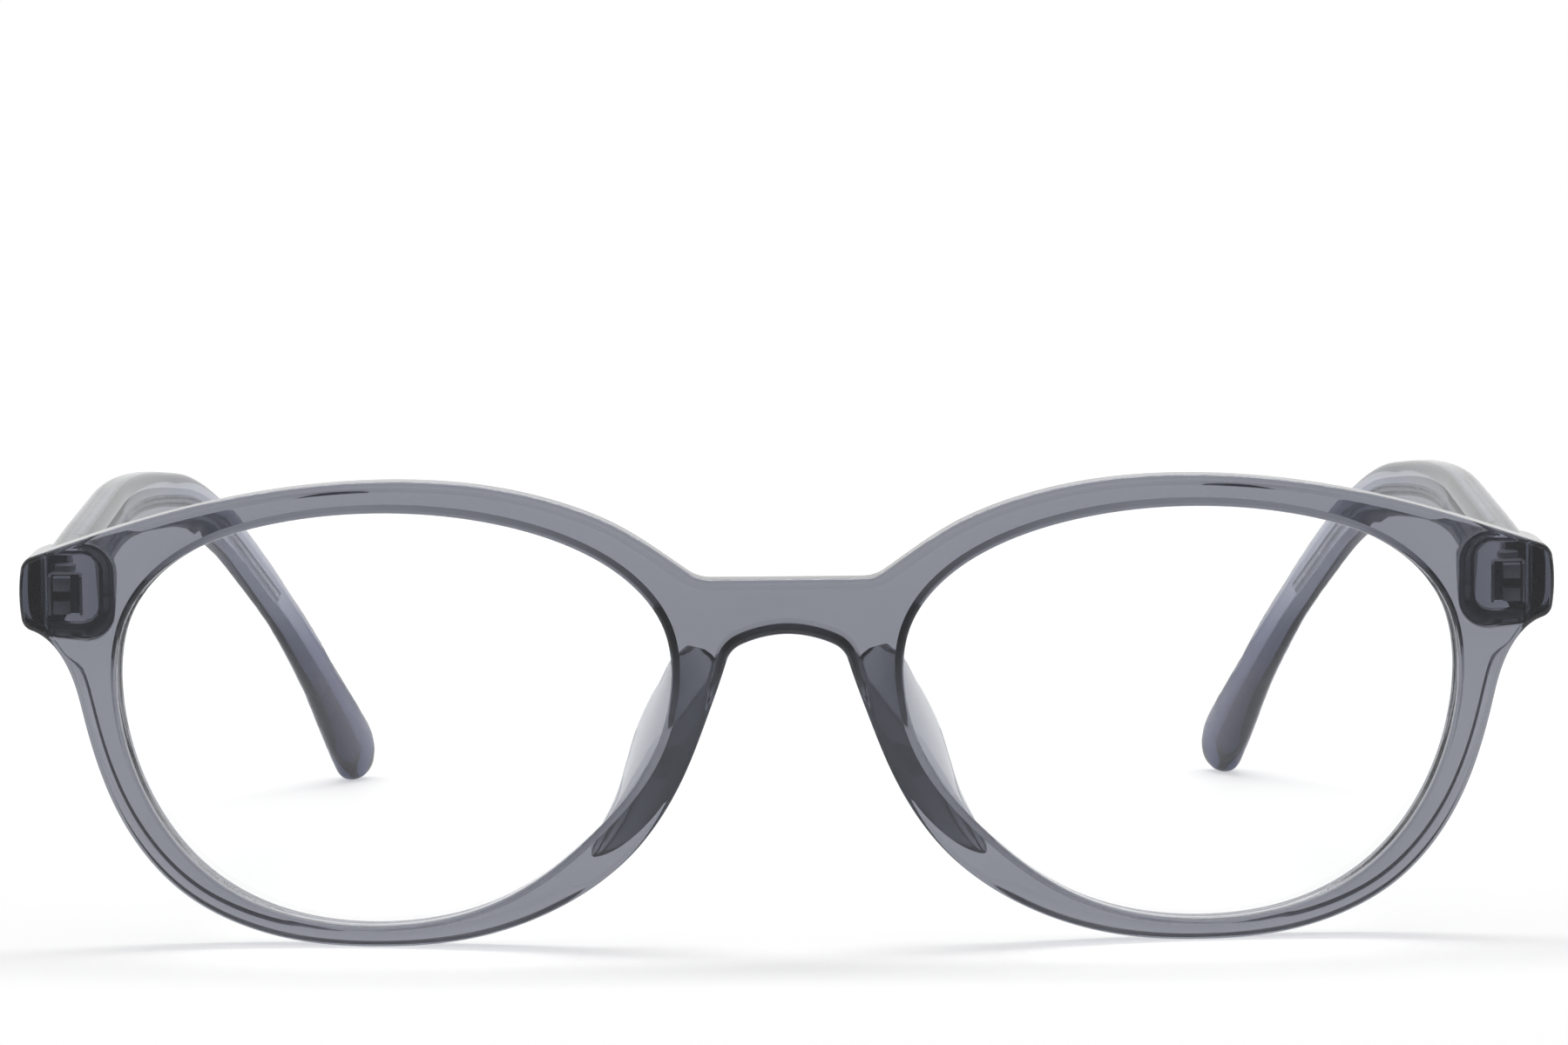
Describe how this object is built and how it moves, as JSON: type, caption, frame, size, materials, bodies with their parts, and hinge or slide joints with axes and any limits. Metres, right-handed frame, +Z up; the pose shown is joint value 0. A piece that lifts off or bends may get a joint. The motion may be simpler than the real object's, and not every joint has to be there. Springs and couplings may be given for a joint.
{
  "type": "eyeglasses",
  "caption": "Oval full-rim eyeglasses with a low bridge, bonded nose pads, clear lenses and folding temples.",
  "frame": {"origin": "under the middle of the open glasses, at the level that the rims and temple tips rest on", "axes": "+X to the wearer's left, +Y from the front towards the temple tips, +Z up"},
  "size_m": [0.1412, 0.1393, 0.043],
  "materials": {
    "grey_acetate": "polished translucent grey acetate",
    "clear_lens": "clear coated lens",
    "hinge_steel": "satin steel",
    "core_wire_steel": "plain steel wire"
  },
  "bodies": {
    "front": {"front_frame": "grey_acetate", "lens_left": "clear_lens", "lens_right": "clear_lens", "nose_pad_left": "grey_acetate", "nose_pad_right": "grey_acetate", "front_hinge_left": "hinge_steel", "front_hinge_right": "hinge_steel", "hinge_screw_left": "hinge_steel", "hinge_screw_right": "hinge_steel"},
    "left_temple": {"temple_left": "grey_acetate", "temple_hinge_left": "hinge_steel", "core_wire_left": "core_wire_steel"},
    "right_temple": {"temple_right": "grey_acetate", "temple_hinge_right": "hinge_steel", "core_wire_right": "core_wire_steel"}
  },
  "joints": [
    {"name": "left_fold", "type": "hinge", "parent": "front", "child": "left_temple", "pos_m": [0.0662, -0.05347, 0.03236], "axis": [0, -0.0436, 0.999], "range_deg": [0, 82]},
    {"name": "right_fold", "type": "hinge", "parent": "front", "child": "right_temple", "pos_m": [-0.0662, -0.05347, 0.03236], "axis": [0, 0.0436, -0.999], "range_deg": [0, 76]}
  ]
}
